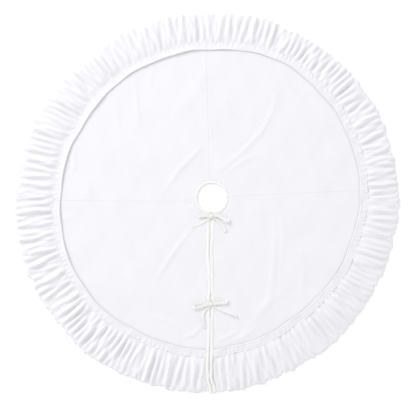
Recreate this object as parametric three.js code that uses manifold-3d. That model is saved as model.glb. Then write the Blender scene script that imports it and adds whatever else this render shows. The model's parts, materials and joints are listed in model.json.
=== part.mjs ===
// Round tree skirt, lying flat on the floor around a trunk, in millimetres with +Z up.
//
// The origin is the centre of the trunk hole, on the floor. The slit runs from the hole
// to the rim along -Y, which is the front. The skirt is four quarter panels of pile
// cloth on a lining, a flat joining band round them, and a wide ruched border. Binding
// tape finishes the hole and both edges of the slit, and two pairs of tie tapes close
// the slit with bows. Every cloth piece is a plain closed solid of its true outer size.

import * as THREE from 'three';
import { mergeVertices } from 'three/addons/utils/BufferGeometryUtils.js';
import Module from 'manifold-3d';

const wasm = await Module();
wasm.setup();

// Radii, from the trunk hole out to the rim.
const HOLE_RADIUS = 56;
const BINDING_WIDTH = 12;
const PANEL_RADIUS = 589;
const GATHER_RADIUS = 617;
const OUTER_RADIUS = 762;
const HEM_WIDTH = 14;

// Heights above the floor.
const LINING_TOP = 1.2;
const PANEL_TOP = 4;
const BAND_TOP = 7.5;
const BINDING_TOP = 5.6;
const BORDER_TOP = 27;
const BOUND_END_TOP = 16;

// Clearances, and the slit between its two bound edges.
const CLEARANCE = 0.3;
const SLIT_WIDTH = 8;
const ROUND_STEPS = 96;

// Tie tapes: width, thickness, and the middle of each bow along the slit.
const TAPE_WIDTH = 12;
const TAPE_THICKNESS = 2;
const UPPER_BOW_Y = -74;
const LOWER_BOW_Y = -425;

const HALF_SLIT = SLIT_WIDTH / 2;
const BOUND_EDGE = HALF_SLIT + BINDING_WIDTH + CLEARANCE;
const BINDING_RADIUS = HOLE_RADIUS + BINDING_WIDTH;
const TAPE_FLOOR = BINDING_TOP + CLEARANCE;

const CLOTH = {
  panel: { color: 0xf1f0f4, roughness: 0.92, metalness: 0 },
  lining: { color: 0xe6e4e2, roughness: 0.85, metalness: 0 },
  band: { color: 0xefeef3, roughness: 0.92, metalness: 0 },
  border: { color: 0xf2f1f6, roughness: 0.92, metalness: 0 },
  binding: { color: 0xf4f2ec, roughness: 0.8, metalness: 0 },
  tie: { color: 0xf4f2ec, roughness: 0.8, metalness: 0 },
};

// ---- solids -------------------------------------------------------------------------

// A closed geometry as a solid, by its positions alone.
function solidOf(geometry) {
  const bare = geometry.clone();
  bare.deleteAttribute('normal');
  bare.deleteAttribute('uv');
  const merged = mergeVertices(bare, 1e-4);
  const mesh = new wasm.Mesh({
    numProp: 3,
    vertProperties: new Float32Array(merged.attributes.position.array),
    triVerts: new Uint32Array(merged.index.array),
  });
  return new wasm.Manifold(mesh);
}

// A solid as a geometry with flat shading.
function geometryOf(solid) {
  const mesh = solid.getMesh();
  const geometry = new THREE.BufferGeometry();
  geometry.setAttribute('position', new THREE.BufferAttribute(mesh.vertProperties, 3));
  geometry.setIndex(new THREE.BufferAttribute(mesh.triVerts, 1));
  geometry.computeVertexNormals();
  return geometry;
}

// A ring round +Z. The outline is [radius, height] points, anticlockwise, and closes itself.
function ring(outline) {
  const points = [...outline, outline[0]].map(([radius, z]) => new THREE.Vector2(radius, z));
  const geometry = new THREE.LatheGeometry(points, ROUND_STEPS);
  geometry.rotateX(Math.PI / 2);
  return solidOf(geometry);
}

// A flat ring of rectangular section.
function flatRing(inner, outer, bottom, top) {
  return ring([[inner, bottom], [outer, bottom], [outer, top], [inner, top]]);
}

// A box between two corners.
function block(low, high) {
  const size = high.map((value, i) => value - low[i]);
  const geometry = new THREE.BoxGeometry(...size);
  geometry.translate(...low.map((value, i) => value + size[i] / 2));
  return solidOf(geometry);
}

// The part of a solid in one quarter of the plan. side and end are -1 or 1 along X and Y,
// and nearX and nearY are the distances that the cut keeps from the two centre lines.
function quarter(solid, side, end, nearX, nearY = CLEARANCE / 2) {
  const far = OUTER_RADIUS + 10;
  const xs = [side * nearX, side * far].sort((a, b) => a - b);
  const ys = [end * nearY, end * far].sort((a, b) => a - b);
  return solid.intersect(block([xs[0], ys[0], -1], [xs[1], ys[1], BORDER_TOP + 1]));
}

// ---- cloth rings ----------------------------------------------------------------------

const lining = flatRing(BINDING_RADIUS + CLEARANCE, OUTER_RADIUS - HEM_WIDTH, 0, LINING_TOP);

const panel = flatRing(
  BINDING_RADIUS + CLEARANCE, PANEL_RADIUS - CLEARANCE, LINING_TOP + CLEARANCE, PANEL_TOP,
);

const band = flatRing(
  PANEL_RADIUS, GATHER_RADIUS - CLEARANCE, LINING_TOP + CLEARANCE, BAND_TOP,
);

// The ruched border: low at its inner gather line, puffed in the middle, and turned down
// to the floor at the rim, where its hem closes over the lining's edge.
const hemRadius = OUTER_RADIUS - HEM_WIDTH + CLEARANCE;
const border = ring([
  [GATHER_RADIUS, LINING_TOP + CLEARANCE],
  [hemRadius, LINING_TOP + CLEARANCE],
  [hemRadius, 0],
  [OUTER_RADIUS - 3, 0],
  [OUTER_RADIUS, 6],
  [OUTER_RADIUS - 3, 14],
  [OUTER_RADIUS - 18, 22],
  [OUTER_RADIUS - 52, BORDER_TOP],
  [GATHER_RADIUS + 52, BORDER_TOP - 1],
  [GATHER_RADIUS + 20, 20],
  [GATHER_RADIUS + 5, 12],
  [GATHER_RADIUS, 8],
]);

// Binding round the hole: a folded tape, so its section is a flat loaf.
const holeBinding = ring([
  [HOLE_RADIUS + 1, 0],
  [BINDING_RADIUS, 0],
  [BINDING_RADIUS, BINDING_TOP - 1],
  [BINDING_RADIUS - 2, BINDING_TOP],
  [HOLE_RADIUS + 2.5, BINDING_TOP],
  [HOLE_RADIUS, BINDING_TOP - 2],
  [HOLE_RADIUS, 1.5],
]);

// Binding along one edge of the slit: its outline from the side, as [distance from the
// centre, height], follows the flat panels and then climbs over the border's bound end.
function slitBinding(side) {
  const outline = [
    [BINDING_RADIUS + 0.5, 0],
    [OUTER_RADIUS - 5, 0],
    [OUTER_RADIUS - 2, 4],
    [OUTER_RADIUS - 6, 12],
    [OUTER_RADIUS - 40, BOUND_END_TOP],
    [GATHER_RADIUS + 40, BOUND_END_TOP],
    [GATHER_RADIUS, BAND_TOP + 2],
    [PANEL_RADIUS, BINDING_TOP + 1],
    [PANEL_RADIUS - 30, BINDING_TOP],
    [BINDING_RADIUS + 0.5, BINDING_TOP],
  ];
  const shape = new THREE.Shape(outline.map(([out, z]) => new THREE.Vector2(out, z)));
  const geometry = new THREE.ExtrudeGeometry(shape, { depth: BINDING_WIDTH, bevelEnabled: false });
  geometry.rotateX(Math.PI / 2);
  geometry.rotateZ(-Math.PI / 2);
  geometry.translate(side > 0 ? HALF_SLIT + BINDING_WIDTH : -HALF_SLIT, 0, 0);
  return geometry;
}

// ---- ties -----------------------------------------------------------------------------

// A tape along a smooth path of [x, y] points, with its section size across the path and
// up from the level that the tape lies at.
function tape(points, across, up, steps) {
  const middle = TAPE_FLOOR + up / 2;
  const path = new THREE.CatmullRomCurve3(points.map(([x, y]) => new THREE.Vector3(x, y, middle)));
  const section = new THREE.Shape([
    new THREE.Vector2(-up / 2, -across / 2),
    new THREE.Vector2(up / 2, -across / 2),
    new THREE.Vector2(up / 2, across / 2),
    new THREE.Vector2(-up / 2, across / 2),
  ]);
  return solidOf(new THREE.ExtrudeGeometry(section, { steps, extrudePath: path }));
}

// One tie of a bow: its root on the binding, half of the knot, its loop, which stands on
// edge, and its tail, which lies flat. Points are from the bow's middle.
function tie(bowY, side, loopPoints, tailPoints) {
  const place = ([x, y]) => [x, y + bowY];
  const loop = tape(loopPoints.map(place), TAPE_THICKNESS, TAPE_WIDTH * 0.6, 20);
  const tail = tape(tailPoints.map(place), TAPE_WIDTH * 0.8, TAPE_THICKNESS, 12);
  const root = tape([[side * 15, 0], [side * 2, 0]].map(place), TAPE_WIDTH, TAPE_THICKNESS, 2);
  const knotShape = new THREE.SphereGeometry(1, 16, 10);
  knotShape.rotateX(Math.PI / 2);
  knotShape.scale(8, 9, 5.5);
  knotShape.translate(0, bowY, TAPE_FLOOR + 5.5);
  const whole = solidOf(knotShape).add(loop).add(tail).add(root);
  const xs = [side * CLEARANCE / 2, side * 200].sort((a, b) => a - b);
  return whole.intersect(block([xs[0], bowY - 200, 0], [xs[1], bowY + 100, 40]));
}

const TIES = {
  upper_tie_left: tie(
    UPPER_BOW_Y, -1,
    [[-2, 3], [-20, 13], [-40, 13], [-47, 6], [-40, -2], [-20, -2], [-2, -1]],
    [[-2, -3], [-28, -18], [-54, -34], [-78, -48]],
  ),
  upper_tie_right: tie(
    UPPER_BOW_Y, 1,
    [[2, 4], [22, 9], [46, 2], [64, -14], [60, -24], [40, -14], [2, -1]],
    [[2, -3], [20, -17], [36, -33], [48, -48], [57, -64]],
  ),
  lower_tie_left: tie(
    LOWER_BOW_Y, -1,
    [[-2, 3], [-26, 14], [-56, 10], [-78, -3], [-70, -12], [-34, -4], [-2, -1]],
    [[-2, -3], [-26, -18], [-40, -40], [-37, -68], [-29, -96]],
  ),
  lower_tie_right: tie(
    LOWER_BOW_Y, 1,
    [[2, 4], [14, 22], [36, 27], [50, 16], [46, 0], [24, -4], [2, -1]],
    [[2, -3], [28, -14], [56, -28], [86, -42], [114, -50]],
  ),
};

// ---- assembly -------------------------------------------------------------------------

const group = new THREE.Group();

function addPiece(name, geometry, cloth) {
  const mesh = new THREE.Mesh(geometry, new THREE.MeshStandardMaterial(CLOTH[cloth]));
  mesh.name = name;
  group.add(mesh);
}

const ENDS = { back: 1, front: -1 };
const SIDES = { left: -1, right: 1 };

for (const [endName, end] of Object.entries(ENDS)) {
  for (const [sideName, side] of Object.entries(SIDES)) {
    const place = `${endName}_${sideName}`;
    const nearX = end > 0 ? CLEARANCE / 2 : BOUND_EDGE;
    addPiece(`lining_${place}`, geometryOf(quarter(lining, side, end, nearX)), 'lining');
    addPiece(`panel_${place}`, geometryOf(quarter(panel, side, end, nearX)), 'panel');
    addPiece(`joining_band_${place}`, geometryOf(quarter(band, side, end, nearX)), 'band');
    addPiece(`ruched_border_${place}`, geometryOf(quarter(border, side, end, nearX)), 'border');
  }
}

for (const [sideName, side] of Object.entries(SIDES)) {
  const frontArc = quarter(holeBinding, side, -1, HALF_SLIT);
  addPiece(`hole_binding_front_${sideName}`, geometryOf(frontArc), 'binding');
  addPiece(`slit_binding_${sideName}`, slitBinding(side), 'binding');
}

const backBox = block([-OUTER_RADIUS, CLEARANCE / 2, -1], [OUTER_RADIUS, OUTER_RADIUS, BORDER_TOP]);
addPiece('hole_binding_back', geometryOf(holeBinding.intersect(backBox)), 'binding');

for (const [name, solid] of Object.entries(TIES)) {
  addPiece(name, geometryOf(solid), 'tie');
}

export default group;
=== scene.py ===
# %% [markdown]
# # A ruched tree skirt
#
# This lesson dresses a plain model of a tree skirt in cloth. The real skirt is a large
# ring of white pile cloth that lies on the floor round a trunk: four quarter panels on a
# lining, a flat joining band, a wide ruched border, and narrow binding tape round the
# trunk hole and down the slit, which two bows hold shut. The flat cloths are worked out
# with numpy as a height over a grid of angle and radius, because laid cloth is almost a
# function of place. The border's folds come from the cloth solver, and the tapes are
# sections carried along paths.

# %% Load the frame
import json
import math

import bpy
import numpy as np
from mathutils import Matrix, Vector

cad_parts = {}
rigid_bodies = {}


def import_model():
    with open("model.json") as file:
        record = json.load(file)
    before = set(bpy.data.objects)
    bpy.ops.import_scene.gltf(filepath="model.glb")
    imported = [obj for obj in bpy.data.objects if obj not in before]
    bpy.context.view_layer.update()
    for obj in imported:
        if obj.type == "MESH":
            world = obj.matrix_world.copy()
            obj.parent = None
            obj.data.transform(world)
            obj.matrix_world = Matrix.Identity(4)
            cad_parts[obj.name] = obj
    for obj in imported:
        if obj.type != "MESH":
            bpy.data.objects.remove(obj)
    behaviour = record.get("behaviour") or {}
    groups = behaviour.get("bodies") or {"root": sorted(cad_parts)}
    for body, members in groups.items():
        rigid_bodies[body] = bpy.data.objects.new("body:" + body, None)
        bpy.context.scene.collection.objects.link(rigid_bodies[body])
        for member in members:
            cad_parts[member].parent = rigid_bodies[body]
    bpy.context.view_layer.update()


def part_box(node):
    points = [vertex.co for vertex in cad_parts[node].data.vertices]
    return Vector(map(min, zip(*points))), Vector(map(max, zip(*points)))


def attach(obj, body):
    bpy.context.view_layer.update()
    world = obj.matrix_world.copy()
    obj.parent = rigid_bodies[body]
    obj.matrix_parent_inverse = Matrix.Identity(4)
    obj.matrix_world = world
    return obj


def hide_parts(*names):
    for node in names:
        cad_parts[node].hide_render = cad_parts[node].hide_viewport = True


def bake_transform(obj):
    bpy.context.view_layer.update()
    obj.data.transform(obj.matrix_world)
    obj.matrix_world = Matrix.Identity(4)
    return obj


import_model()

# %% [markdown]
# ## The sizes of the skirt
#
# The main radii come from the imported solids, so the cloth always fits them. A laid skirt
# is never a perfect circle: its rim and the band's seam wander by two or three
# centimetres, as short Fourier sums in the angle, and the quarters' seams lie aslant.

# %% Radii, heights and the slit
MM = 0.001
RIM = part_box("ruched_border_back_right")[1][0]
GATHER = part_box("joining_band_back_right")[1][0]
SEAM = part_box("panel_back_right")[1][0]
BINDING_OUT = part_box("hole_binding_back")[1][0]
LINING_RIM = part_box("lining_back_right")[1][0]
TAPE = 12 * MM
HOLE = BINDING_OUT - TAPE
TAPE_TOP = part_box("hole_binding_back")[1][2]
PUFF_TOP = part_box("ruched_border_back_right")[1][2]
BAND_WIDTH = GATHER - SEAM
PANEL_THICK = 1.3 * MM
LINING_THICK = 0.7 * MM
BAND_THICK = 1.1 * MM
BORDER_THICK = 0.8 * MM
TAPE_THICK = 0.9 * MM
print("rim", RIM, "gather", GATHER, "seam", SEAM, "hole", HOLE)


def rim_radius(angle):
    """Rim radius at an angle: the mean radius plus first and second waves, wider to the
    front and left, where the cloth lies pulled out, and three finer waves."""
    first = -18 * np.cos(angle) - 19 * np.sin(angle)
    second = 3 * np.cos(2 * angle) + 9 * np.sin(2 * angle)
    uneven = 2.2 * np.cos(9 * angle + 1) + 1.8 * np.cos(14 * angle) + 1.5 * np.cos(23 * angle + 2)
    return RIM + MM * (first + second + uneven + 3)


def seam_radius(angle):
    """Radius of the seam between the panels and the joining band, with its own waves."""
    first = -6 * np.cos(angle) - 4 * np.sin(angle)
    third = 2.5 * np.cos(5 * angle + 1) + 2 * np.sin(7 * angle) + 1.6 * np.cos(11 * angle)
    fine = 1.2 * np.cos(17 * angle + 2) + 0.9 * np.cos(29 * angle + 1)
    return SEAM + MM * (11 + first + 14 * np.sin(2 * angle) + third + fine)


def gather_radius(angle):
    """Radius of the line where the border is gathered on to the joining band."""
    return seam_radius(angle) + BAND_WIDTH


def slit_middle(out):
    """X of the slit's middle line, as a smooth curve through places along the slit."""
    at = [0.060, 0.130, 0.210, 0.310, 0.425, 0.540, 0.680, 0.725, 0.760, 0.800]
    x = [-1, -4, -8, -3, -3, -5, -9, -8, 2, 6]
    return MM * smooth_between(out, at, x)


def slit_gap(out):
    """Width of the slit between its two bound edges, along the slit."""
    upper = [0.060, 0.085, 0.150, 0.200, 0.300, 0.375, 0.405, 0.425]
    lower = [0.455, 0.490, 0.540, 0.680, 0.715, 0.735, 0.800]
    wide = [8, 10, 7, 3, 1, 1.2, 7, 2.5, 6, 1, 2, 4, 1.5, 6, 2]
    return MM * smooth_between(out, upper + lower, wide)


def smooth_between(value, at, heights):
    """A curve through points: between two of them it eases with 3t^2 - 2t^3."""
    value = np.asarray(value, float)
    place = np.clip(np.searchsorted(at, value) - 1, 0, len(at) - 2)
    at, heights = np.array(at), np.array(heights, float)
    t = np.clip((value - at[place]) / (at[place + 1] - at[place]), 0, 1)
    return heights[place] + (heights[place + 1] - heights[place]) * t * t * (3 - 2 * t)


def ease(value, low, high):
    """0 below low, 1 above high, and 3t^2 - 2t^3 between them."""
    t = np.clip((value - low) / (high - low), 0, 1)
    return t * t * (3 - 2 * t)


# %% [markdown]
# ## Where the four quarters end
#
# Each quarter cloth runs from one seam to the next, anticlockwise. A seam's line is given
# by how far it lies off its axis at each radius, and an arcsine turns that into an angle.
# Along the slit the cloth stops just inside the tape that wraps it.

# %% Seam lines and quarters
TUCK = 2.5 * MM


def seam_line(axis, offset, slope):
    """A seam as a function of radius: the angle at which it lies offset + slope * r to the
    left of its axis, as seen from the hole."""
    return lambda r: axis + np.arcsin((offset + slope * r) / r)


right_seam = seam_line(0.0, -1.5 * MM, 0.047)
back_seam = seam_line(math.pi / 2, 4 * MM, 0.027)
left_seam = seam_line(math.pi, 18.6 * MM, -0.0078)


def slit_left(r):
    """Angle at which the cloth left of the slit ends, inside its tape."""
    x = slit_middle(r) - slit_gap(r) / 2 - TUCK
    return 1.5 * math.pi + np.arcsin(x / r)


def slit_right(r):
    """Angle at which the cloth right of the slit ends, inside its tape."""
    x = slit_middle(r) + slit_gap(r) / 2 + TUCK
    return -0.5 * math.pi + np.arcsin(x / r)


QUARTERS = {
    "back_right": (right_seam, back_seam),
    "back_left": (back_seam, left_seam),
    "front_left": (left_seam, slit_left),
    "front_right": (slit_right, right_seam),
}


def off_seam(angle, r):
    """Distance along the circle to the nearest of the three sewn seams."""
    turn = np.mod(angle, 2 * math.pi)
    gaps = [turn - np.mod(line(r), 2 * math.pi) for line in (right_seam, back_seam, left_seam)]
    wrapped = [np.abs(np.mod(gap + math.pi, 2 * math.pi) - math.pi) for gap in gaps]
    return np.minimum.reduce(wrapped) * r


def off_slit(angle, r):
    """Distance from the slit's middle line, for points in the front half."""
    x, y = r * np.cos(angle), r * np.sin(angle)
    return np.where(y < 0, np.abs(x - slit_middle(np.abs(y))), 1.0)


# %% [markdown]
# ## Helpers that turn arrays into meshes
#
# A piece is a grid of points: rows along one parameter, columns along the other. The
# faces are the grid's squares, written as four index arrays, and foreach_set copies
# whole arrays into the mesh. Each grid also gets a UV map in metres, so a weave keeps
# its true size, and may get an attribute of painted shade: how far the pile's colour is
# darkened in a crease, a hollow or along a seam, where shade falls.

# %% Grid meshes
ALL_OBJECTS = bpy.context.scene.collection.objects


def grid_faces(rows, columns, wrap=False):
    """Corner indices of the squares of a grid; wrap joins the last row to the first."""
    index = np.arange(rows * columns).reshape(rows, columns)
    below = np.roll(index, -1, axis=0) if wrap else index[1:]
    above = index if wrap else index[:-1]
    corners = [above[:, :-1], above[:, 1:], below[:, 1:], below[:, :-1]]
    return np.stack(corners, axis=-1).reshape(-1, 4)


def make_mesh(name, points, faces, uv=None, painted_crease_shade=None):
    """A mesh object from an array of points and an array of four-cornered faces."""
    mesh = bpy.data.meshes.new(name)
    mesh.vertices.add(len(points))
    mesh.vertices.foreach_set("co", points.astype(np.float32).ravel())
    mesh.loops.add(faces.size)
    mesh.loops.foreach_set("vertex_index", faces.astype(np.int32).ravel())
    mesh.polygons.add(len(faces))
    mesh.polygons.foreach_set("loop_start", np.arange(0, faces.size, 4, dtype=np.int32))
    mesh.polygons.foreach_set("use_smooth", np.ones(len(faces), bool))
    if uv is not None:
        layer = mesh.uv_layers.new(name="cloth")
        layer.data.foreach_set("uv", uv[faces.ravel()].astype(np.float32).ravel())
    # Painted shade: a value per point, 0 to 1, that darkens the pile's colour where shade falls in
    # creases, hollows and seams.
    if painted_crease_shade is not None:
        attribute = mesh.attributes.new("painted_crease_shade", "FLOAT", "POINT")
        attribute.data.foreach_set("value", painted_crease_shade.astype(np.float32).ravel())
    mesh.update(calc_edges=True)
    mesh.validate()
    piece = bpy.data.objects.new(name, mesh)
    ALL_OBJECTS.link(piece)
    return piece


def cloth_grid(name, x, y, z, uv, painted_crease_shade=None):
    """A sheet over grids of X, Y and Z, facing up: rows run outward, columns turn left."""
    points = np.stack([x, y, z], axis=-1).reshape(-1, 3)
    faces = grid_faces(*x.shape)
    return make_mesh(name, points, faces, uv.reshape(-1, 2), painted_crease_shade)


def thicken(piece, thickness):
    """Gives a sheet its cloth's thickness, on its lower side."""
    wall = piece.modifiers.new("thickness", "SOLIDIFY")
    wall.thickness = thickness
    wall.offset = -1.0
    wall.use_rim = True


# %% [markdown]
# ## The finishes
#
# The skirt is one white pile cloth, a plain lining, and warm white cotton tape. Pile is
# many short upright fibres: it is matt, catches a soft sheen at grazing angles, and lies in
# faint patches that differ by a few percent in lightness. In creases, hollows and along
# seams its colour is darkened as painted shade, where shade falls. The panels, the pressed
# band and the gathered border each have their own setting of it. The tape and lining are
# plain weave, so they get fine crossing threads instead.

# %% Node helpers
def new_material(name):
    """A node material, its node tree and its main shader."""
    material = bpy.data.materials.new(name)
    material.use_nodes = True
    tree = material.node_tree
    return material, tree, tree.nodes["Principled BSDF"]


def set_inputs(node, **values):
    """Sets a node's inputs by name, with _ for each space."""
    for key, value in values.items():
        node.inputs[key.replace("_", " ")].default_value = value
    return node


def add_node(tree, kind, **values):
    """Adds a node and sets its inputs by name."""
    return set_inputs(tree.nodes.new(kind), **values)


def noise(tree, vector, scale, detail):
    """A noise texture on a vector, as cells per metre."""
    node = add_node(tree, "ShaderNodeTexNoise", Scale=scale, Detail=detail)
    tree.links.new(vector, node.inputs["Vector"])
    return node.outputs["Fac"]


def remap(tree, value, low, high):
    """A 0 to 1 value stretched to low to high."""
    node = add_node(tree, "ShaderNodeMapRange", To_Min=low, To_Max=high)
    tree.links.new(value, node.inputs["Value"])
    return node.outputs["Result"]


def multiply(tree, first, second):
    """The product of two values."""
    node = tree.nodes.new("ShaderNodeMath")
    node.operation = "MULTIPLY"
    tree.links.new(first, node.inputs[0])
    tree.links.new(second, node.inputs[1])
    return node.outputs[0]


def shaded_colour(tree, shader, colour, shade):
    """Drives the base colour: the cloth's colour times a shade near 1."""
    node = tree.nodes.new("ShaderNodeVectorMath")
    node.operation = "SCALE"
    node.inputs[0].default_value = colour
    tree.links.new(shade, node.inputs["Scale"])
    tree.links.new(node.outputs[0], shader.inputs["Base Color"])


def bump(tree, height, strength, distance, after=None):
    """A bump from a height, optionally on top of another bump."""
    node = add_node(tree, "ShaderNodeBump", Strength=strength, Distance=distance)
    tree.links.new(height, node.inputs["Height"])
    if after is not None:
        tree.links.new(after, node.inputs["Normal"])
    return node.outputs["Normal"]


def set_cloth(shader, roughness, sheen):
    """The constant settings of a matt cloth."""
    set_inputs(shader, Roughness=roughness, Specular_IOR_Level=0.15)
    set_inputs(shader, Sheen_Weight=sheen, Sheen_Roughness=0.45)


# %% Pile cloth
def pile_cloth(name, colour, painted_shade_depth):
    """White pile: patches of lay, a fine nap as bump, and painted shade in creases."""
    material, tree, shader = new_material(name)
    place = tree.nodes.new("ShaderNodeTexCoord").outputs["Object"]
    patches = remap(tree, noise(tree, place, 9, 3), 0.975, 1.02)
    fibres = remap(tree, noise(tree, place, 420, 2), 0.975, 1.02)
    # Painted shade: the colour is darkened by the piece's crease attribute, by up to the given depth,
    # to stand for the shade in creases, hollows and seams.
    painted_crease_shade = tree.nodes.new("ShaderNodeAttribute")
    painted_crease_shade.attribute_name = "painted_crease_shade"
    dip = remap(tree, painted_crease_shade.outputs["Fac"], 1.0, 1.0 - painted_shade_depth)
    shade = multiply(tree, multiply(tree, patches, fibres), dip)
    shaded_colour(tree, shader, colour, shade)
    nap = bump(tree, noise(tree, place, 700, 3), 0.35, 0.6 * MM)
    soft = bump(tree, noise(tree, place, 60, 2), 0.15, 1.5 * MM, nap)
    tree.links.new(soft, shader.inputs["Normal"])
    set_cloth(shader, 0.95, 0.18)
    return material


# %% Woven cloth
def woven_cloth(name, colour, threads):
    """Plain weave: two crossing waves of threads on the piece's own UV map."""
    material, tree, shader = new_material(name)
    uv = tree.nodes.new("ShaderNodeUVMap")
    uv.uv_map = "cloth"
    waves = []
    for direction in ("X", "Y"):
        wave = add_node(tree, "ShaderNodeTexWave", Scale=threads, Distortion=0.6, Detail=1)
        wave.bands_direction = direction
        tree.links.new(uv.outputs["UV"], wave.inputs["Vector"])
        waves.append(wave.outputs["Fac"])
    weave = multiply(tree, waves[0], waves[1])
    place = tree.nodes.new("ShaderNodeTexCoord").outputs["Object"]
    patches = remap(tree, noise(tree, place, 25, 2), 0.98, 1.015)
    shade = multiply(tree, patches, remap(tree, weave, 0.985, 1.01))
    shaded_colour(tree, shader, colour, shade)
    tree.links.new(bump(tree, weave, 0.4, 0.25 * MM), shader.inputs["Normal"])
    set_cloth(shader, 0.85, 0.08)
    return material


# The last number of each pile is how deep its painted crease shade goes: deepest on the panels, whose
# edge it darkens into the line round the skirt.
PILE = pile_cloth("white_pile", (0.886, 0.887, 0.918), 0.30)
BAND_PILE = pile_cloth("pressed_pile", (0.880, 0.880, 0.912), 0.14)
BORDER_PILE = pile_cloth("gathered_pile", (0.884, 0.884, 0.908), 0.07)
TAPE_WEAVE = woven_cloth("warm_tape", (0.945, 0.940, 0.922), 320)
# Painted shade: the tie tape is the binding tape's cotton made greyer, standing for the shade between
# the bows' overlapping layers.
SHADED_TIE_WEAVE = woven_cloth("tie_tape_painted_shade", (0.890, 0.886, 0.870), 320)
LINING_WEAVE = woven_cloth("white_lining", (0.80, 0.79, 0.78), 260)
THREAD = woven_cloth("white_thread", (0.86, 0.855, 0.85), 900)


def dress(piece, material, slot, *nodes):
    """Gives a piece its finish and hides the solids it stands for. The slot is not used."""
    piece.data.materials.append(material)
    if nodes:
        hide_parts(*nodes)
    return piece


# %% [markdown]
# ## Where a piece meets the fold
#
# The skirt folds in half along its side seams. A cloth that reaches the fold only has
# its place baked into its mesh here; it does not bend over the fold.


def bend(piece):
    """Bakes the piece's place into its mesh; the piece does not bend at the fold."""
    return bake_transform(piece)


# %% [markdown]
# ## Waves for cloth
#
# Gathers and slow ripples are sums of waves with drawn phases. Round the skirt a wave must
# close on itself, so it has a whole number of crests. Letting each wave's phase drift
# from the inner edge to the outer makes the folds lean, fork and merge on the way, as
# gathers do.

# %% Wave sums
def ring_waves(angle, across, counts, drift, seed):
    """Sum of cos(count * angle + phase + drift * across) over counts, of unit spread."""
    draw = np.random.default_rng(seed)
    total = np.zeros(np.broadcast(angle, across).shape)
    for count in counts:
        phase = draw.uniform(0, 2 * math.pi)
        lean = draw.normal(0, drift)
        total = total + np.cos(count * angle + phase + lean * across)
    return total * math.sqrt(2 / len(counts))


def plane_waves(x, y, lengths, seed):
    """Sum of cosines in drawn directions over the plane, of unit spread."""
    draw = np.random.default_rng(seed)
    total = np.zeros(np.shape(x))
    for length in lengths:
        heading = draw.uniform(0, math.pi)
        phase = draw.uniform(0, 2 * math.pi)
        along = x * math.cos(heading) + y * math.sin(heading)
        total = total + np.cos(2 * math.pi * along / length + phase)
    return total * math.sqrt(2 / len(lengths))


# %% [markdown]
# ## The wrinkles of the flat panels
#
# The panels lie flat but were folded before, so a few long soft wrinkles cross them. Each
# is a low ridge along a bent line: its height falls off as a bell curve across the line
# and fades to nothing at the line's ends. The lines are given in millimetres.

# %% Wrinkle lines
# Each wrinkle is ([points in mm], width in mm, height in mm).
WRINKLES = [
    ([(-30, 215), (-75, 165), (-130, 110), (-190, 20)], 8, 2.6),
    ([(-70, -112), (-130, -190), (-175, -255), (-222, -330)], 9, 2.4),
    ([(268, 440), (245, 350), (198, 258), (110, 170), (14, 98)], 9, 2.4),
    ([(226, -25), (252, -90), (256, -160), (246, -290), (232, -410), (130, -545)], 11, 2.2),
    ([(262, -30), (284, -100), (286, -190), (272, -310)], 10, 1.6),
    ([(410, 320), (350, 390), (280, 462)], 9, 2.0),
    ([(142, -12), (168, -36), (212, -72)], 7, 1.5),
    ([(352, -205), (372, -300), (350, -410)], 10, 1.4),
    ([(-306, 500), (-300, 380), (-292, 280)], 9, 2.0),
    ([(-246, 500), (-243, 440)], 9, 2.0),
    ([(-552, 196), (-550, 92)], 8, 2.2),
    ([(-502, 80), (-484, -12)], 8, 1.6),
    ([(-386, 400), (-368, 262)], 9, 1.4),
    ([(60, 96), (130, 150), (190, 168)], 8, 1.6),
    ([(-150, 330), (-60, 420), (-20, 520)], 16, 1.2),
    ([(-420, -120), (-330, -230), (-300, -360)], 14, 1.2),
    ([(120, -470), (210, -440), (330, -330)], 14, 1.0),
    ([(-250, -470), (-160, -500), (-70, -560)], 9, 1.8),
    ([(-118, -562), (-70, -547), (-28, -500)], 7, 2.2),
    ([(20, -574), (62, -558), (112, -532)], 7, 2.4),
    ([(64, -578), (122, -558), (192, -515)], 8, 2.0),
]


def ridge(x, y, line, width, height):
    """A ridge along a bent line: height * exp(-(d / (1.25 * width))^2), d being the distance
    to the line, faded by sin(pi * share of the way along it) to the power 0.6."""
    line = np.array(line) * MM
    steps = np.diff(line, axis=0)
    lengths = np.hypot(steps[:, 0], steps[:, 1])
    before = np.concatenate([[0], np.cumsum(lengths)])
    nearest = np.full(np.shape(x), 1e9)
    share = np.zeros(np.shape(x))
    for start, step, length, done in zip(line, steps, lengths, before):
        t = ((x - start[0]) * step[0] + (y - start[1]) * step[1]) / length**2
        t = np.clip(t, 0, 1)
        d = np.hypot(x - start[0] - t * step[0], y - start[1] - t * step[1])
        closer = d < nearest
        nearest = np.where(closer, d, nearest)
        share = np.where(closer, (done + t * length) / before[-1], share)
    fade = np.clip(np.sin(math.pi * share), 0, 1) ** 0.6
    return height * MM * np.exp(-((nearest / (1.25 * width * MM)) ** 2)) * fade


# %% [markdown]
# ## The quarter panels
#
# A panel could be draped by simulation, but a sheet that already lies flat gives the
# solver nothing to do. So its height is written down: a level, slow ripples, the long
# wrinkles, the dip at each stitched seam with the doubled seam allowance beside it, and
# small puckers where the joining band's stitching has drawn its edge in.

# %% The height of the panels
PANEL_LEVEL = 3.6 * MM
EDGE_LEVEL = 2.7 * MM
ALLOWANCE = 13 * MM


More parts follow.
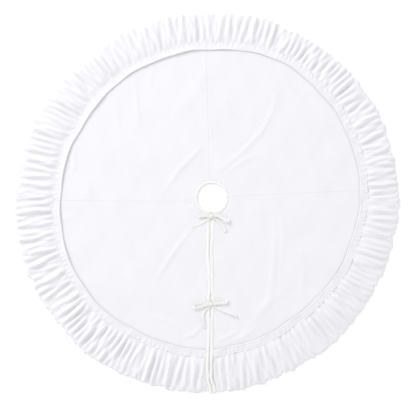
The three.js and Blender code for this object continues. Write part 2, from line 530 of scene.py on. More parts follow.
def panel_height(x, y, angle, r):
    """Height of the pile's surface over the floor at each point of the panels."""
    inward = seam_radius(angle) - r
    z = PANEL_LEVEL + 0.7 * MM * plane_waves(x, y, np.linspace(0.09, 0.42, 11), 3)
    z = z + 0.12 * MM * plane_waves(x, y, np.linspace(0.03, 0.07, 9), 8)
    for line, width, height in WRINKLES:
        z = z + ridge(x, y, line, width, height)
    z = z - ridge(x, y, [(-84, -4), (-88, -36)], 9, 3.0)
    seam = off_seam(angle, r)
    doubled = 0.20 * MM * (1 - ease(seam, ALLOWANCE - 3 * MM, ALLOWANCE + 3 * MM))
    z = z + doubled - 0.5 * MM * np.exp(-((seam / (2.4 * MM)) ** 2))
    drawn = ring_waves(angle, r / RIM, range(38, 92, 3), 1.0, 21)
    pulled = 0.25 + 0.75 * np.exp(-(((angle - 2.4) / 0.7) ** 2))
    z = z + 0.9 * MM * pulled * drawn * np.exp(-inward / (26 * MM)) * ease(inward, 0, 12 * MM)
    level = ease(inward, 1 * MM, 9 * MM) * ease(r - BINDING_OUT, -2 * MM, 6 * MM)
    level = level * ease(off_slit(angle, r), TAPE - 4 * MM, TAPE + 6 * MM)
    return EDGE_LEVEL + (np.maximum(z, 2.4 * MM) - EDGE_LEVEL) * level


def crowded(count, low, high, power=0.75):
    """count values from low to high, closer together near both ends."""
    t = np.linspace(-1, 1, count)
    return low + (high - low) * (0.5 + 0.5 * np.sign(t) * (1 - (1 - np.abs(t)) ** (1 / power)))


def quarter_grid(quarter, share_along, share_out, inner, outer):
    """Angle and radius grids of a quarter: share_out runs from the inner radius to the
    outer one, and share_along from the quarter's first seam to its second."""
    first, second = QUARTERS[quarter]
    out, along = np.meshgrid(share_out, share_along, indexing="ij")
    middle_angle = first(0.3) + (second(0.3) - first(0.3)) * along
    r = inner(middle_angle) + (outer(middle_angle) - inner(middle_angle)) * out
    angle = first(r) + (second(r) - first(r)) * along
    r = inner(angle) + (outer(angle) - inner(angle)) * out
    return angle, r, out, along


def hole_edge(angle):
    """Radius at which the panels and the lining end inside the hole's binding."""
    return np.full(np.shape(angle), HOLE + TUCK)


# %% Make the panels
def under_band(angle):
    """Radius at which the panels end, just under the joining band's edge."""
    return seam_radius(angle) + 2 * MM


def make_panel(quarter):
    angle, r, out, along = quarter_grid(
        quarter, crowded(210, 0, 1), crowded(140, 0, 1), hole_edge, under_band
    )
    x, y = r * np.cos(angle), r * np.sin(angle)
    z = panel_height(x, y, angle, r)
    seam = off_seam(angle, r)
    # Painted shade: the pile is darkened along the panel's outer edge, under the band's roll, and
    # faintly along the sewn seams.
    edge = np.exp(-(seam_radius(angle) - r) / (4 * MM)) + 0.10 * np.exp(-seam / (2 * MM))
    uv = np.stack([x, y], axis=-1)
    piece = cloth_grid(f"panel_cloth_{quarter}", x, y, z, uv, np.clip(edge, 0, 1))
    thicken(piece, PANEL_THICK)
    dress(piece, PILE, "pile_cloth", f"panel_{quarter}")
    return bend(piece)


panels = {quarter: make_panel(quarter) for quarter in QUARTERS}
print("panels", list(panels))

# %% [markdown]
# ## The lining
#
# The lining is the skirt's underside: plain cotton, flat on the floor, with its seams
# pressed and its outer edge held by the border's turned hem. It lifts a little where the
# tape and the hem pass under it. It is the outside of the fold, so its columns are close
# together there.

# %% Make the lining
def lining_edge(angle):
    """Radius at which the lining ends, above the border's turned hem."""
    return rim_radius(angle) - (RIM - LINING_RIM) + 2 * MM


def make_lining(quarter):
    angle, r, out, along = quarter_grid(
        quarter, crowded(240, 0, 1), crowded(80, 0, 1), hole_edge, lining_edge
    )
    x, y = r * np.cos(angle), r * np.sin(angle)
    under_tape = 1 - ease(r, BINDING_OUT - 2 * MM, BINDING_OUT + 5 * MM)
    under_slit = 1 - ease(off_slit(angle, r), TAPE, TAPE + 8 * MM)
    over_hem = ease(r, lining_edge(angle) - 12 * MM, lining_edge(angle) - 5 * MM)
    lift = np.maximum.reduce([under_tape, under_slit, over_hem])
    seam = off_seam(angle, r)
    dip = 0.35 * MM * np.exp(-((seam / (1.5 * MM)) ** 2))
    ripple = 0.12 * MM * (1 + plane_waves(x, y, np.linspace(0.04, 0.2, 9), 31) / 3)
    z = 0.95 * MM + ripple + dip + 1.1 * MM * lift
    uv = np.stack([x, y], axis=-1)
    piece = cloth_grid(f"lining_cloth_{quarter}", x, y, z, uv)
    thicken(piece, LINING_THICK)
    dress(piece, LINING_WEAVE, "lining", f"lining_{quarter}")
    return bend(piece)


linings = {quarter: make_lining(quarter) for quarter in QUARTERS}
print("linings", list(linings))

# %% [markdown]
# ## The joining band
#
# A flat band of the same cloth, folded along its inner edge and stitched down beside both
# edges. The fold is a soft roll that stands over the panel and throws the dark line that
# runs round the skirt; that line is also painted shade, on the roll and on the panel's
# edge. Its outer edge carries the border's gathers, so it puckers there.

# %% Make the joining band
BAND_TOP = 7.0 * MM
STITCH_IN = 5 * MM


ROLL = 2.6 * MM
ROLL_SHARE = 0.3
ROLL_FLATNESS = 0.8
FLAT_FROM = ROLL_FLATNESS * ROLL
FLAT_WIDTH = BAND_WIDTH + 1 * MM - FLAT_FROM
STITCH_ROWS = (STITCH_IN, BAND_WIDTH - STITCH_IN)


def band_section(share):
    """Across the band: how far out from the seam, and how high. The first part is half an
    ellipse, the roll; the rest is flat and sinks a little towards the gathers."""
    turn = np.clip(share / ROLL_SHARE, 0, 1) * math.pi
    rest = np.clip((share - ROLL_SHARE) / (1 - ROLL_SHARE), 0, 1)
    roll = ROLL * (1 - np.sin(turn)) * ROLL_FLATNESS
    out = np.where(share < ROLL_SHARE, roll, FLAT_FROM + rest * FLAT_WIDTH)
    high = np.where(share < ROLL_SHARE, BAND_TOP - ROLL * (1 + np.cos(turn)), BAND_TOP)
    return out, high - 1.2 * MM * rest


def band_surface(angle, share):
    """Place across the band and height: its section, with puckers that deepen towards the
    gathers, a slow unevenness, a prouder roll at the back left and two stitched grooves."""
    away, z = band_section(share)
    pucker = ring_waves(angle, share, range(110, 260, 5), 0.8, 44)
    slow = ring_waves(angle, share, range(20, 70, 3), 0.6, 45)
    top = ease(share, 0.25, 0.4)
    z = z + 0.6 * MM * pucker * top * ease(share, 0.2, 1.0) + 0.7 * MM * slow * top
    proud = 1.2 + 3.0 * ease(np.cos(angle - 2.5), -0.1, 0.8)
    proud = proud * (1 + 0.35 * ring_waves(angle, 0, range(7, 30, 3), 0, 46))
    z = z + proud * MM * np.exp(-((away / (7 * MM)) ** 2)) * ease(share, 0.1, 0.3)
    for line in STITCH_ROWS:
        z = z - 0.8 * MM * np.exp(-(((away - line) / (1.3 * MM)) ** 2)) * top
    seam = off_seam(angle, seam_radius(angle) + away)
    return away, z - 0.5 * MM * np.exp(-((seam / (1.6 * MM)) ** 2)) * top


def make_band(quarter):
    angle, _, out, _ = quarter_grid(
        quarter, np.linspace(0, 1, 420), np.linspace(0, 1, 30), seam_radius, gather_radius
    )
    away, z = band_surface(angle, out)
    r = seam_radius(angle) + away
    x, y = r * np.cos(angle), r * np.sin(angle)
    # Painted shade: the pile is darkened along the band's inner roll and a little at the gathers.
    painted_crease_shade = 0.9 * (1 - ease(out, 0.0, 0.28)) + 0.15 * ease(out, 0.93, 1.0)
    uv = np.stack([angle * SEAM, away], axis=-1)
    piece = cloth_grid(f"band_cloth_{quarter}", x, y, z, uv, painted_crease_shade)
    thicken(piece, BAND_THICK)
    dress(piece, BAND_PILE, "band_cloth", f"joining_band_{quarter}")
    return bend(piece)


bands = {quarter: make_band(quarter) for quarter in QUARTERS}
print("bands", list(bands))

# %% [markdown]
# ## The topstitching
#
# Two rows of white thread hold the band flat. A stitch is a short straight dash that
# shows for about three millimetres and then dives, so each is one small six-sided bar
# laid in its groove. Rows of real bars catch the light as a drawn line would not.

# %% Stitch the band
STITCH_PITCH = 4.6 * MM
STITCH_HALF = np.array([1.5, 0.32, 0.28]) * MM


def bars(centre, along, half):
    """One box for every centre: its eight corners are centre +- half along, across and
    up, where across is the level direction square to along."""
    across = np.stack([-along[:, 1], along[:, 0], 0 * along[:, 0]], axis=-1)
    up = np.broadcast_to([0.0, 0.0, 1.0], along.shape)
    signs = np.array([[i, j, k] for k in (-1, 1) for i, j in ((-1, -1), (1, -1), (1, 1), (-1, 1))])
    axes = np.stack([along, across, up], axis=1)
    corners = centre[:, None] + np.einsum("cs,nsd->ncd", signs * half, axes)
    box = np.array([[3, 2, 1, 0], [4, 5, 6, 7], [0, 1, 5, 4], [1, 2, 6, 5], [2, 3, 7, 6], [3, 0, 4, 7]])
    faces = (box[None] + 8 * np.arange(len(centre))[:, None, None]).reshape(-1, 4)
    return corners.reshape(-1, 3), faces


def make_stitches(quarter):
    first, second = QUARTERS[quarter]
    rows = []
    for line in STITCH_ROWS:
        r = SEAM + line
        inset = 7 * MM / r
        count = int((second(r) - first(r)) * r / STITCH_PITCH)
        angle = np.linspace(first(r) + inset, second(r) - inset, count)
        flat_part = (line - FLAT_FROM) / FLAT_WIDTH
        share = np.full(count, ROLL_SHARE + (1 - ROLL_SHARE) * flat_part)
        away, z = band_surface(angle, share)
        r = seam_radius(angle) + away
        rows.append(np.stack([r * np.cos(angle), r * np.sin(angle), z + 0.25 * MM], axis=-1))
    along = np.concatenate([np.gradient(row[:, :2], axis=0) for row in rows])
    along = np.pad(along / np.linalg.norm(along, axis=1, keepdims=True), ((0, 0), (0, 1)))
    corners, faces = bars(np.concatenate(rows), along, STITCH_HALF)
    piece = make_mesh(f"band_stitches_{quarter}", corners, faces, corners[:, :2])
    dress(piece, THREAD, "band_cloth")
    return bend(piece)


stitches = {quarter: make_stitches(quarter) for quarter in QUARTERS}
print("stitch bars", sum(len(piece.data.polygons) for piece in stitches.values()) // 6)

# %% [markdown]
# ## The ruched border
#
# On the real skirt the border is a long strip, longer than the edges it is sewn to, drawn
# up on a gathering thread along both of its sides. Its folds could be written as waves, but
# waves look combed: real folds start and stop, lean on each other and share their slack.
# So the strip is gathered here as it is in the workroom. Its rest shape is the flat strip,
# its long sides are pinned to their seams and its ends to the slit, and the cloth solver
# finds the folds.

# %% The strip before it settles
CELL = 6 * MM
STRIP_EASE = 1.05


def strip_fullness(angle):
    """Length of strip gathered into each unit of the border: fullest at the front left."""
    return 1.21 + 0.05 * np.cos(angle - math.radians(225)) + 0.03 * np.cos(2 * angle - 1)


def strip_columns():
    """Shares of the turn of the strip's columns, spaced evenly along the cloth, and how far
    along the cloth each lies."""
    fine = np.linspace(0, 1, 4001)
    angle = -0.5 * math.pi + 2 * math.pi * fine
    middle = (gather_radius(angle) + rim_radius(angle)) / 2
    cloth = strip_fullness(angle) * middle * 2 * math.pi / 4000
    run = np.concatenate([[0], np.cumsum(cloth[1:])])
    count = int(run[-1] / CELL)
    along = np.linspace(0, run[-1], count)
    return np.interp(along, run, fine), along


def strip_start(share, across):
    """The strip at the start: a low dome between its two seams, with the first ripples."""
    angle = -0.5 * math.pi + 2 * math.pi * share
    inner, outer = gather_radius(angle) - 1.5 * MM, rim_radius(angle) - 5 * MM
    bow = 0.6 * (0.5 - 0.5 * np.cos(math.pi * across)) + 0.4 * across
    r = inner + (outer - inner) * bow
    angle = slit_right(r) + (slit_left(r) - slit_right(r)) * share
    arch = np.sin(math.pi * across)
    end = np.minimum(share, 1 - share) * 2 * math.pi * r
    calm = 0.25 + 0.75 * ease(end, 0, 40 * MM)
    ripple = ring_waves(angle, across - 0.5, range(50, 200, 4), 3.5, 61)
    pucker = ring_waves(angle, across, range(150, 330, 6), 1.0, 62)
    z = 4.5 * MM * (1 - across) + 3 * MM * across + 12 * MM * arch**0.8 * calm
    z = z + 5 * MM * calm * ripple * arch**0.5
    z = z + 1.0 * MM * pucker * (np.exp(-across / 0.08) + np.exp(-(1 - across) / 0.08))
    return np.stack([r * np.cos(angle), r * np.sin(angle), np.maximum(z, 2.6 * MM)], axis=-1)


# %% Gather the strip with the cloth solver
FRAMES = 40


def settle(points, flat, pinned, frames):
    """Runs the cloth solver on a grid of points whose rest shape is flat, and returns
    where the points came to rest. A hidden plane at floor height holds the cloth up."""
    rows, columns = points.shape[:2]
    strip = make_mesh("strip", points.reshape(-1, 3), grid_faces(rows, columns))
    strip.shape_key_add(name="Basis")
    rest = strip.shape_key_add(name="flat")
    rest.data.foreach_set("co", flat.astype(np.float32).ravel())
    rest.value = 0
    strip.vertex_groups.new(name="pins").add(pinned.tolist(), 1.0, "REPLACE")
    cloth = strip.modifiers.new("cloth", "CLOTH")
    cloth.settings.rest_shape_key = rest
    cloth.settings.vertex_group_mass = "pins"
    cloth.settings.quality = 6
    cloth.settings.mass = 0.2
    cloth.settings.tension_stiffness = 120
    cloth.settings.compression_stiffness = 120
    cloth.settings.shear_stiffness = 60
    cloth.settings.bending_stiffness = 0.3
    cloth.settings.air_damping = 3
    cloth.settings.effector_weights.gravity = 0.25
    cloth.collision_settings.distance_min = 1.5 * MM
    cloth.point_cache.frame_end = frames
    corners = np.array([[-1, -1, 0], [1, -1, 0], [1, 1, 0], [-1, 1, 0]], float)
    table = make_mesh("table", corners, np.array([[0, 1, 2, 3]]))
    table.modifiers.new("collision", "COLLISION")
    table.collision.thickness_outer = 2 * MM
    for step in range(1, frames + 1):
        bpy.context.scene.frame_set(step)
    settled = strip.evaluated_get(bpy.context.evaluated_depsgraph_get()).data
    place = np.empty(rows * columns * 3, np.float32)
    settled.vertices.foreach_get("co", place)
    for helper in (strip, table):
        bpy.data.objects.remove(helper)
    bpy.context.scene.frame_set(1)
    return place.reshape(rows, columns, 3).astype(float)


share, along_strip = strip_columns()
strip_length = along_strip[-1]
strip_width = (RIM - GATHER) * STRIP_EASE
row_count = int(strip_width / CELL) + 1
share_grid, across_grid = np.meshgrid(share, np.linspace(0, 1, row_count), indexing="ij")
start = strip_start(share_grid, across_grid)
along_grid = np.repeat(along_strip[:, None], row_count, axis=1)
flat_strip = np.stack([along_grid, across_grid * strip_width, 0 * along_grid], axis=-1)
numbers = np.arange(start[..., 0].size).reshape(start.shape[:2])
pinned = np.concatenate([numbers[:, 0], numbers[:, -1], numbers[0, 1:-1], numbers[-1, 1:-1]])
gathered = settle(start, flat_strip, pinned, FRAMES)
print("gathered strip", gathered.shape, "top", gathered[..., 2].max(), "length", strip_length)

# %% [markdown]
# ## Finishing the border
#
# The solver's grid is coarse, so it is refined once each way with a four-point rule that
# keeps it smooth. A skirt comes folded flat from its bag, so its folds are pressed to
# about half their height, less at the left. Then the tight puckers of the gathering
# threads and a little crumpling are added as waves, the rim is turned under as a hem, and
# the strip is cut into its four sewn lengths.

# %% Refine, pucker and hem
def refine(grid, axis):
    """Puts a point midway between neighbours, (-1, 9, 9, -1) / 16 of the four nearest."""
    grid = np.moveaxis(grid, axis, 0)
    padded = np.concatenate([grid[:1], grid, grid[-1:]])
    middle = (-padded[:-3] + 9 * padded[1:-2] + 9 * padded[2:-1] - padded[3:]) / 16
    fine = np.empty((2 * len(grid) - 1, *grid.shape[1:]))
    fine[0::2], fine[1::2] = grid, middle
    return np.moveaxis(fine, 0, axis)


def blurred(field, reach):
    """The mean of a field over a square of 2 * reach + 1 points a side."""
    for axis in (0, 1):
        padded = np.concatenate([np.repeat(field.take([0], axis), reach, axis), field,
                                 np.repeat(field.take([-1], axis), reach, axis)], axis)
        total = np.cumsum(padded, axis)
        first = np.zeros_like(total.take([0], axis))
        total = np.concatenate([first, total], axis)
        count = field.shape[axis]
        upper = total.take(range(2 * reach + 1, 2 * reach + 1 + count), axis)
        field = (upper - total.take(range(count), axis)) / (2 * reach + 1)
    return field


SOFT_TOP = 19 * MM
BORDER_ROOT = 5 * MM
HEM_WIDTH = 12 * MM
cut_width = strip_width + HEM_WIDTH
fine = refine(refine(gathered, 0), 1)
columns, rows = fine.shape[:2]
fine_share = np.interp(np.linspace(0, 1, columns), np.linspace(0, 1, len(share)), share)
fine_angle = -0.5 * math.pi + 2 * math.pi * fine_share[:, None]
across = np.linspace(0, 1, rows)[None, :]
near_in, near_out = np.exp(-across / 0.10), np.exp(-(1 - across) / 0.12)
base = BORDER_ROOT + (EDGE_LEVEL - BORDER_ROOT) * across
sewn = 0.30 + 0.70 * ease(across, 0.0, 0.28)
pressed = 0.56 + 0.09 * np.cos(fine_angle - 3.4) + 0.12 * np.cos(2 * fine_angle - 1.05)
fine[..., 2] = base + (fine[..., 2] - base) * sewn * pressed
inner = ring_waves(fine_angle, across, range(130, 300, 6), 4.0, 63)
outer = ring_waves(fine_angle, across, range(90, 230, 5), 4.0, 64)
scallop = ring_waves(fine_angle, across, range(34, 96, 4), 1.0, 65)
crumple = ring_waves(fine_angle, across, range(140, 420, 7), 9.0, 66)
swell = ring_waves(fine_angle, across, range(12, 44, 3), 1.5, 67)
middle = np.sin(math.pi * across)
fine[..., 2] += 0.4 * MM * near_in * inner + 1.0 * MM * near_out * outer
fine[..., 2] += (0.30 * MM * crumple + 1.5 * MM * swell) * middle
outward = np.stack([np.cos(fine_angle), np.sin(fine_angle)], axis=-1)
fine[..., :2] += (MM * near_out * (2.4 * scallop + 1.0 * outer))[..., None] * outward
fine[..., 2] = np.maximum(fine[..., 2], EDGE_LEVEL - 0.6 * MM)
over = np.maximum(fine[..., 2] - SOFT_TOP, 0)
room = PUFF_TOP - 0.2 * MM - SOFT_TOP
fine[..., 2] += room * (1 - np.exp(-over / room)) - over
# Painted shade: the pile is darkened where a point lies below the mean height around it, in the hollows
# of the folds.
painted_hollow_shade = np.clip((blurred(fine[..., 2], 6) - fine[..., 2]) / (3 * MM), 0, 1)
rim_line = fine[:, -1]
hem = [(-0.5 * MM, 1.3 * MM), (-4 * MM, 0.9 * MM), (-HEM_WIDTH, 0.9 * MM)]
turned = []
for shift, level in hem:
    flat_line = rim_line[:, :2] + shift * outward[:, 0]
    turned.append(np.concatenate([flat_line, np.full((columns, 1), level)], axis=-1))
fine = np.concatenate([fine, np.stack(turned, axis=1)], axis=1)
painted_hollow_shade = np.concatenate([painted_hollow_shade, np.repeat(painted_hollow_shade[:, -1:], 3, axis=1)], axis=1)
print("fine strip", fine.shape, "top", fine[..., 2].max())


# %% Cut the border into its four lengths
def make_border(quarter, low, high):
    first, last = np.searchsorted(fine_share, low), np.searchsorted(fine_share, high)
    part = slice(first, min(last + 1, columns))
    points = fine[part]
    along = np.interp(fine_share[part, None], share, along_strip) + 0 * points[..., 0]
    side = np.linspace(0, cut_width, points.shape[1])[None, :] + 0 * points[..., 0]
    uv = np.stack([along, side], axis=-1).reshape(-1, 2)
    faces = grid_faces(*points.shape[:2])
    corners = points.reshape(-1, 3)
    piece = make_mesh(f"border_cloth_{quarter}", corners, faces[:, ::-1], uv, painted_hollow_shade[part])
    thicken(piece, BORDER_THICK)
    dress(piece, BORDER_PILE, "border_cloth", f"ruched_border_{quarter}")
    return bend(piece)


CUTS = {
    "front_right": (0.0, 0.25),
    "back_right": (0.25, 0.5),
    "back_left": (0.5, 0.75),
    "front_left": (0.75, 1.0),
}
borders = {quarter: make_border(quarter, *cut) for quarter, cut in CUTS.items()}
print("borders", {quarter: len(piece.data.vertices) for quarter, piece in borders.items()})

# %% [markdown]
# ## The binding tape
#
# Bias tape is folded over each raw edge, so across it is a narrow letter C: top, rounded
# edge, bottom. That section is carried round the hole and down the two edges of the slit,
# where it also climbs over the border's bound end.

# %% Tape sections
def tape_section(count, top, thickness=1.0 * MM):
    """The C of a folded tape: along the top to the edge, round it as half an ellipse, and
    back along the bottom. It gives the distance in from the edge, the height from -1 to 1,
    the crown on top, and the middle height and half height that scale it."""
    flat = np.linspace(1, 0.16, count // 3)
    turn = np.linspace(0.5 * math.pi, -0.5 * math.pi, count // 3)
    middle, half = (top + thickness) / 2, (top - thickness) / 2
    across = np.concatenate([flat, 0.16 * (1 - np.cos(turn)), flat[::-1]]) * TAPE
    crown = 0.25 * MM * np.sin(math.pi * flat)
    high = np.concatenate([np.full(flat.shape, 1.0), np.sin(turn), np.full(flat.shape, -1.0)])
    lift = np.concatenate([crown, 0 * turn, 0 * flat])
    return across, high, lift, middle, half


# %% Binding round the hole
def make_hole_binding(name, start, end, node):
    across, high, lift, middle, half = tape_section(24, TAPE_TOP)
    count = int(90 * (end - start) / math.pi) + 2
    s, angle = np.meshgrid(np.arange(len(across)), np.linspace(start, end, count), indexing="ij")
    wave = 0.35 * MM * ring_waves(angle, 0, range(9, 30, 2), 0, 71)
    r = HOLE + across[s] + wave
    uneven = 0.2 * MM * ring_waves(angle, 0, range(20, 50, 3), 0, 72)
    z = middle + half * high[s] + lift[s] + uneven * (high[s] > 0)
    uv = np.stack([angle * HOLE, s * 1.2 * MM], axis=-1)
    piece = cloth_grid(name, r * np.cos(angle), r * np.sin(angle), z, uv)
    thicken(piece, TAPE_THICK)
    dress(piece, TAPE_WEAVE, "binding_tape", node)
    return bend(piece)


half_gap = math.asin((slit_gap(HOLE) / 2 + 1 * MM) / HOLE)
left_end, right_end = 1.5 * math.pi - half_gap, -0.5 * math.pi + half_gap
make_hole_binding("hole_tape_back", 0, math.pi, "hole_binding_back")
make_hole_binding("hole_tape_left", math.pi, left_end, "hole_binding_front_left")
make_hole_binding("hole_tape_right", right_end, 0, "hole_binding_front_right")


# %% Binding down the slit
CLASPED_RISE = 3.5 * MM


def over_border(out):
    """1 where the slit tape clasps the border's thicker end, and 0 over the flat panels."""
    rise = ease(out, GATHER - 25 * MM, GATHER + 35 * MM)
    return rise * (1 - ease(out, RIM - 30 * MM, RIM + 12 * MM))


def make_slit_binding(name, side, node):
    across, high, lift, _, _ = tape_section(24, TAPE_TOP)
    out = np.linspace(HOLE + 8 * MM, rim_radius(-0.5 * math.pi) - 1 * MM, 260)
    s, out = np.meshgrid(np.arange(len(across)), out, indexing="ij")
    edge = slit_middle(out) + side * slit_gap(out) / 2
    wide = 1 + 0.08 * np.sin(out / 0.031 + side) + 0.05 * np.sin(out / 0.012)
    x = edge + side * across[s] * wide
    thick = CLASPED_RISE * over_border(out)
    top = TAPE_TOP + thick + 0.25 * MM * np.sin(out / 0.017 + 2 * side)
    middle, half = (top + 1 * MM) / 2, (top - 1 * MM) / 2
    lips = EDGE_LEVEL + thick + 1.3 * MM * high[s]
    closing = 0.7 * ease(across[s] / TAPE, 0.45, 1.0)
    z = (middle + half * high[s] + lift[s]) * (1 - closing) + lips * closing
    uv = np.stack([out, s * 1.2 * MM], axis=-1)
    piece = cloth_grid(name, x, -out, z, uv)
    if side < 0:
        piece.data.flip_normals()
    thicken(piece, TAPE_THICK)
    dress(piece, TAPE_WEAVE, "binding_tape", node)
    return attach(piece, "front_half")


make_slit_binding("slit_tape_left", -1, "slit_binding_left")
make_slit_binding("slit_tape_right", 1, "slit_binding_right")

# %% [markdown]
# ## The bows
#
# Each bow is two tie tapes, one sewn to each edge of the slit. A tie runs from its root
# through the knot, out, folds over and comes back on itself as a flat loop, and runs away
# as a tail. Tape is stiff across and limp along, so it turns by folding and twisting: each
# point of a tie's path carries a roll, 0 lying flat and 90 standing on edge. The knot's
# wrap is a short tape over the crossing.

# %% Tapes along a path
TIE_WIDTH = 12 * MM
TIE_THICKNESS = 1.6 * MM


def smooth_path(points, steps):
    """A Catmull-Rom curve through rows of numbers: places and roll alike."""
    points = np.array(points, float)
    padded = np.array([2 * points[0] - points[1], *points, 2 * points[-1] - points[-2]])
    t = np.linspace(0, len(points) - 1, steps)
    k = np.minimum(t.astype(int), len(points) - 2)
    f = (t - k)[:, None]
    a, b, c, d = padded[k], padded[k + 1], padded[k + 2], padded[k + 3]
    square, cube = 2 * a - 5 * b + 4 * c - d, 3 * b - a - 3 * c + d
    return 0.5 * (2 * b + (c - a) * f + square * f**2 + cube * f**3)


def carried_sides(along):
    """Directions across a path: each is the last one carried on without a twist, plus half
    of the level one on its own side, so a fold keeps its side and a level run is level."""
    level = np.cross([0.0, 0.0, 1.0], along)
    side = level / np.linalg.norm(level[0])
    for k in range(1, len(along)):
        carried = side[k - 1] - (side[k - 1] @ along[k]) * along[k]
        blend = carried + 0.5 * np.sign(level[k] @ carried) * level[k]
        side[k] = blend / np.linalg.norm(blend)
    return side


def tape_points(path, width, thickness):
    """Rings of a flat tape along a path of (x, y, z, roll): across it the outline is two
    low arches, top and bottom, that meet in thin edges, and the middle is slightly cupped."""
    centre, roll = path[:, :3], np.radians(path[:, 3])
    along = np.gradient(centre, axis=0)
    along /= np.linalg.norm(along, axis=1, keepdims=True)
    side = carried_sides(along)
    up = np.cross(along, side)
    across = side * np.cos(roll)[:, None] + up * np.sin(roll)[:, None]
    face = np.cross(along, across)
    k = np.cos(np.linspace(0, math.pi, 9))
    arch = 0.12 + 0.38 * (1 - k**4)
    place = np.concatenate([k, k[::-1]])
    lift = np.concatenate([arch, -arch[::-1]]) * thickness + 0.5 * MM * (place**2 - 0.5)
    shape = place[:, None, None] * across[None] * width / 2 + lift[:, None, None] * face[None]
    return np.moveaxis(centre[None] + shape, 0, 1)


def ground(x, y):
    """Height of what a tie lies on: a binding where there is one, and the panel elsewhere."""
    angle, r = np.arctan2(y, x) % (2 * math.pi), np.hypot(x, y)
    bound = (r < BINDING_OUT + 2 * MM) | (off_slit(angle, r) < TAPE + 3 * MM)
    return np.where(bound, TAPE_TOP + 0.5 * MM, panel_height(x, y, angle, r) + 0.3 * MM)


def make_tape(name, points, width=TIE_WIDTH, thickness=TIE_THICKNESS, steps=150):
    """A closed flat tape along a list of (x, y, z, roll) in millimetres and degrees. Where
    it would dip into the cloth it is raised until its lower edge, half a width times
    sin(roll) below its middle, just rests there."""
    path = smooth_path(points, steps)
    path[:, :3] *= MM
    drop = width / 2 * np.abs(np.sin(np.radians(path[:, 3]))) + thickness / 2
    path[:, 2] = np.maximum(path[:, 2], ground(path[:, 0], path[:, 1]) + drop)
    rings = tape_points(path, width, thickness)
    steps, count = rings.shape[:2]
    index = np.arange(steps * count).reshape(steps, count)
    after = np.roll(index, -1, axis=1)
    wall = np.stack([index[:-1], after[:-1], after[1:], index[1:]], axis=-1).reshape(-1, 4)
    k = np.arange(count // 2 - 1)
    cap = np.stack([k, k + 1, count - 2 - k, count - 1 - k], axis=-1)
    faces = np.concatenate([wall, cap[:, ::-1], index[-1, 0] + cap])
    run = np.concatenate([[0], np.cumsum(np.linalg.norm(np.diff(path[:, :3], axis=0), axis=1))])
    around = np.abs(np.linspace(-1, 1, count)) * width
    uv = np.stack(np.meshgrid(run, around, indexing="ij"), axis=-1).reshape(-1, 2)
    piece = make_mesh(name, rings.reshape(-1, 3), faces, uv)
    return piece, run[-1]


# %% Tie the bows
UPPER_BOW = (0, -74)
LOWER_BOW = (-2, -425)
TIES = {
    "upper_tie_left": (UPPER_BOW, [
        (-9, -4, 7, 0), (-4, 0, 9, 0), (-9, 6, 9, 0), (-22, 10, 8, 0), (-38, 9, 7, 0),
        (-50, 5, 8, 0), (-54, 2, 11, 0), (-49, -1, 14, 0), (-36, 1, 12, 0), (-22, 1, 12, 0),
        (-9, -1, 12, 0), (-3, -2, 11, 0), (-7, -7, 9, 0), (-22, -16, 7, 5), (-42, -28, 6, 8),
        (-62, -39, 6, 0), (-78, -49, 6, -8)]),
    "upper_tie_right": (UPPER_BOW, [
        (9, -4, 7, 0), (4, 0, 9, 0), (10, 6, 9, 0), (26, 9, 8, 0), (46, 2, 7, 0), (62, -12, 8, 0),
        (66, -18, 12, 0), (60, -20, 15, 0), (44, -9, 13, 0), (26, 0, 12, 0), (10, 1, 12, 0),
        (3, -2, 11, 0), (8, -7, 9, 0), (24, -17, 7, -10), (38, -30, 6, -8), (49, -46, 6, 5),
        (57, -64, 6, 10)]),
    "lower_tie_left": (LOWER_BOW, [
        (-9, -4, 7, 0), (-4, 0, 9, 0), (-10, 5, 9, 0), (-26, 5, 8, 0), (-48, 2, 7, 0),
        (-68, -2, 8, 0), (-73, -7, 12, 0), (-66, -14, 15, 0), (-48, -11, 13, 0), (-28, -6, 12, 0),
        (-10, -2, 12, 0), (-2, -2, 11, 0), (-6, -8, 9, 0), (-20, -19, 7, 10), (-31, -36, 6, 12),
        (-32, -56, 6, 0), (-28, -78, 6, -12), (-25, -96, 6, -5)]),
    "lower_tie_right": (LOWER_BOW, [
        (9, -4, 7, 0), (4, 0, 9, 0), (10, 8, 9, 0), (24, 14, 8, 0), (42, 15, 7, 0), (58, 14, 8, 0),
        (62, 11, 12, 0), (56, 6, 15, 0), (42, 5, 13, 0), (24, 3, 12, 0), (10, 0, 12, 0),
        (3, -2, 11, 0), (8, -7, 9, 0), (26, -16, 7, -15), (50, -27, 6, -25), (74, -36, 6, -40),
        (92, -44, 6, -50), (104, -50, 7, -60)]),
}
WRAP = [(1, 8, 5.5, 0), (0, 8.5, 9, 0), (-0.5, 5.5, 13, 6), (0, 0, 14.5, 8), (0.5, -5.5, 13, 6),
        (1, -8.5, 9, 0), (1, -8, 5.5, 0)]


def shifted(points, bow):
    """Moves a list of (x, y, z, roll) to its bow's middle."""
    return [(x + bow[0], y + bow[1], z, roll) for x, y, z, roll in points]


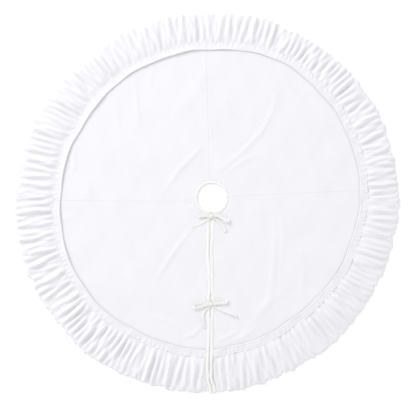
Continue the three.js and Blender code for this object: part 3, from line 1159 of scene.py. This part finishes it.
for name, (bow, points) in TIES.items():
    tie, length = make_tape(name + "_tape", shifted(points, bow))
    dress(tie, SHADED_TIE_WEAVE, "tie_tape", name)
    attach(tie, "front_half")
    if name.endswith("right"):
        wrap, _ = make_tape(name + "_wrap", shifted(WRAP, bow), 10 * MM, 2 * MM, 60)
        dress(wrap, SHADED_TIE_WEAVE, "tie_tape")
        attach(wrap, "front_half")
    print(name, "length", round(length, 3))

# %% [markdown]
# ## The stage, the light and the camera
#
# A pale floor under a bright even sky, with one lamp as large as a window at the upper
# left that lights the cloth from its side and draws out its wrinkles. The camera looks
# straight down through a long lens, so the round skirt stays round.

# %% Floor
def make_floor():
    size = 30.0
    corners = np.array([[-size, -size, 0], [size, -size, 0], [size, size, 0], [-size, size, 0]])
    floor = make_mesh("floor", corners - [0, 0, 0.4 * MM], np.array([[0, 1, 2, 3]]))
    material, _, shader = new_material("white_floor")
    set_inputs(shader, Base_Color=(0.97, 0.97, 0.97, 1), Roughness=0.9)
    set_inputs(shader, Emission_Color=(1, 1, 1, 1), Emission_Strength=0.10)
    set_inputs(shader, Specular_IOR_Level=0.0)
    floor.data.materials.append(material)


make_floor()


# %% Light
def aim(thing, eye, target):
    """Puts a lamp or camera at a place and turns it to look at another."""
    back = np.array(eye, float) - np.array(target, float)
    thing.location = eye
    thing.rotation_mode = "QUATERNION"
    thing.rotation_quaternion = Vector(back).to_track_quat("Z", "Y")


lamp = bpy.data.objects.new("window", bpy.data.lights.new("window", "AREA"))
lamp.data.energy = 229
lamp.data.size = 3.0
lamp.data.color = (1.0, 0.995, 0.99)
lamp.visible_camera = False
ALL_OBJECTS.link(lamp)
aim(lamp, (-4.6, 4.4, 3.9), (0, 0, 0))

world = bpy.data.worlds.new("soft_sky")
world.use_nodes = True
sky = world.node_tree.nodes["Background"]
set_inputs(sky, Color=(0.985, 0.985, 1.0, 1), Strength=0.85)
bpy.context.scene.world = world
bpy.context.scene.view_settings.view_transform = "Standard"

# %% Camera
VIEW_WIDTH = 1.664
LENS = 100
SENSOR = 36
CENTRE = (-14 * MM, -42 * MM)
camera = bpy.data.objects.new("camera", bpy.data.cameras.new("camera"))
camera.data.lens = LENS
camera.data.sensor_width = SENSOR
height = VIEW_WIDTH / 2 * LENS / (SENSOR / 2)
camera.location = (*CENTRE, height)
camera.data.clip_end = 100
ALL_OBJECTS.link(camera)
bpy.context.scene.camera = camera
